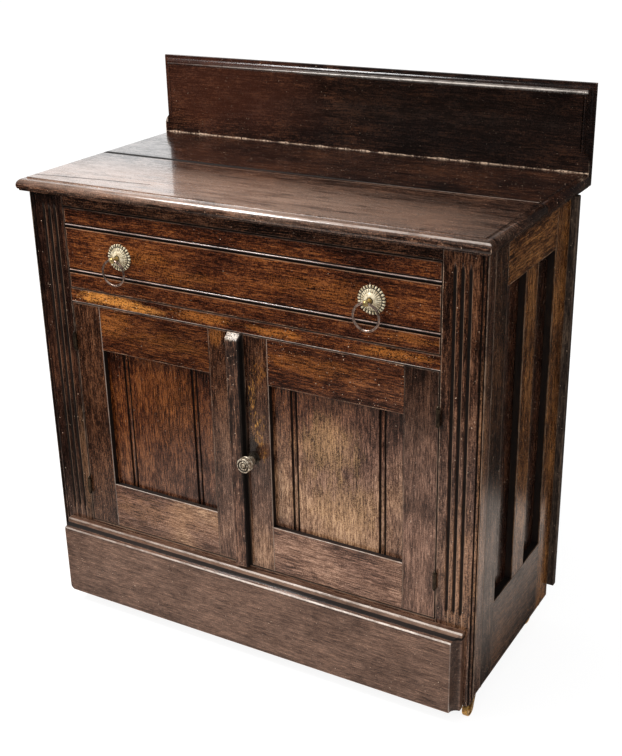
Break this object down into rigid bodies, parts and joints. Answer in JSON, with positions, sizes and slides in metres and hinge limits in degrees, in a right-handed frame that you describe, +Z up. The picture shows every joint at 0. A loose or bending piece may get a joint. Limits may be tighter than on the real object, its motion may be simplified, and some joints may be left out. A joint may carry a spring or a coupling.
{
  "type": "washstand commode",
  "caption": "Low cabinet on casters with a raised back, one wide drawer on ring pulls over a cupboard with a pair of panelled doors, fluted posts and a moulded top.",
  "frame": {"origin": "on the floor, under the middle of the whole object's box", "axes": "+Z up, +Y to the back, so the drawer and the doors face -Y; +X to the right of a viewer who faces the doors"},
  "size_m": [0.854, 0.453, 0.958],
  "materials": {
    "dark_wood": "old dark mahogany under a worn gloss varnish",
    "red_wood": "red-brown mahogany under a gloss varnish, rubbed orange in places",
    "back_wood": "dull stained boards",
    "plain_wood": "bare pine, darkened by age",
    "pull_brass": "pale brass, dulled in its hollows",
    "knob_brass": "aged brass",
    "hinge_brass": "dark brass",
    "iron": "dull dark iron",
    "caster_brass": "yellow brass, tarnished"
  },
  "bodies": {
    "carcass": {"top_front_board": "dark_wood", "top_rear_board": "dark_wood", "splashback": "dark_wood", "left_front_post": "red_wood", "right_front_post": "red_wood", "top_rail": "red_wood", "drawer_rail": "red_wood", "foot_rail": "red_wood", "plinth_board": "red_wood", "left_side_stile": "red_wood", "left_rear_stile": "red_wood", "left_side_top_rail": "red_wood", "left_side_foot_rail": "red_wood", "left_side_muntin": "red_wood", "left_side_panels": "red_wood", "right_side_stile": "red_wood", "right_rear_stile": "red_wood", "right_side_top_rail": "red_wood", "right_side_foot_rail": "red_wood", "right_side_muntin": "red_wood", "right_side_panels": "red_wood", "back_boards": "back_wood", "cupboard_floor": "plain_wood", "corner_blocks": "plain_wood", "drawer_runners": "plain_wood", "drawer_kickers": "plain_wood", "frame_hinge_leaves": "hinge_brass", "caster_plates": "caster_brass"},
    "drawer": {"drawer_front": "red_wood", "drawer_left_side": "plain_wood", "drawer_right_side": "plain_wood", "drawer_back": "plain_wood", "drawer_bottom": "plain_wood", "pull_rosettes": "pull_brass", "pull_posts": "pull_brass"},
    "left_ring": {"left_ring": "pull_brass"},
    "right_ring": {"right_ring": "pull_brass"},
    "left_door": {"left_door_hinge_stile": "red_wood", "left_door_meeting_stile": "red_wood", "left_door_top_rail": "red_wood", "left_door_foot_rail": "red_wood", "left_door_panel": "red_wood", "closing_bead": "red_wood", "left_door_leaves": "hinge_brass"},
    "right_door": {"right_door_hinge_stile": "red_wood", "right_door_meeting_stile": "red_wood", "right_door_top_rail": "red_wood", "right_door_foot_rail": "red_wood", "right_door_panel": "red_wood", "right_door_leaves": "hinge_brass"},
    "door_turn": {"turn_knob": "knob_brass", "turn_tongue": "iron"},
    "front_left_fork": {"front_left_fork": "caster_brass"},
    "front_left_wheel": {"front_left_wheel": "caster_brass"},
    "front_right_fork": {"front_right_fork": "caster_brass"},
    "front_right_wheel": {"front_right_wheel": "caster_brass"},
    "rear_left_fork": {"rear_left_fork": "caster_brass"},
    "rear_left_wheel": {"rear_left_wheel": "caster_brass"},
    "rear_right_fork": {"rear_right_fork": "caster_brass"},
    "rear_right_wheel": {"rear_right_wheel": "caster_brass"}
  },
  "joints": [
    {"name": "drawer_slide", "type": "slide", "parent": "carcass", "child": "drawer", "axis": [0, -1, 0], "range_m": [0, 0.24]},
    {"name": "left_ring_swing", "type": "hinge", "parent": "drawer", "child": "left_ring", "pos_m": [-0.233, -0.2105, 0.6965], "axis": [-1, 0, 0], "range_deg": [-18, 165]},
    {"name": "right_ring_swing", "type": "hinge", "parent": "drawer", "child": "right_ring", "pos_m": [0.233, -0.2105, 0.6965], "axis": [-1, 0, 0], "range_deg": [-18, 165]},
    {"name": "left_door_hinge", "type": "hinge", "parent": "carcass", "child": "left_door", "pos_m": [-0.34425, -0.1951, 0.39], "axis": [0, 0, -1], "range_deg": [0, 170]},
    {"name": "right_door_hinge", "type": "hinge", "parent": "carcass", "child": "right_door", "pos_m": [0.34425, -0.1951, 0.39], "axis": [0, 0, 1], "range_deg": [0, 170]},
    {"name": "turn_spin", "type": "hinge", "parent": "right_door", "child": "door_turn", "pos_m": [0.0155, -0.1915, 0.387], "axis": [0, 1, 0], "range_deg": [0, 90]},
    {"name": "front_left_swivel", "type": "hinge", "parent": "carcass", "child": "front_left_fork", "pos_m": [-0.399, -0.1575, 0.05], "axis": [0, 0, 1], "continuous": true},
    {"name": "front_left_roll", "type": "hinge", "parent": "front_left_fork", "child": "front_left_wheel", "pos_m": [-0.399, -0.1735, 0.014], "axis": [1, 0, 0], "continuous": true},
    {"name": "front_right_swivel", "type": "hinge", "parent": "carcass", "child": "front_right_fork", "pos_m": [0.399, -0.1575, 0.05], "axis": [0, 0, 1], "continuous": true},
    {"name": "front_right_roll", "type": "hinge", "parent": "front_right_fork", "child": "front_right_wheel", "pos_m": [0.399, -0.1735, 0.014], "axis": [1, 0, 0], "continuous": true},
    {"name": "rear_left_swivel", "type": "hinge", "parent": "carcass", "child": "rear_left_fork", "pos_m": [-0.399, 0.1115, 0.05], "axis": [0, 0, 1], "continuous": true},
    {"name": "rear_left_roll", "type": "hinge", "parent": "rear_left_fork", "child": "rear_left_wheel", "pos_m": [-0.383, 0.1115, 0.014], "axis": [0, 1, 0], "continuous": true},
    {"name": "rear_right_swivel", "type": "hinge", "parent": "carcass", "child": "rear_right_fork", "pos_m": [0.399, 0.1115, 0.05], "axis": [0, 0, 1], "continuous": true},
    {"name": "rear_right_roll", "type": "hinge", "parent": "rear_right_fork", "child": "rear_right_wheel", "pos_m": [0.383, 0.1115, 0.014], "axis": [0, -1, 0], "continuous": true}
  ]
}
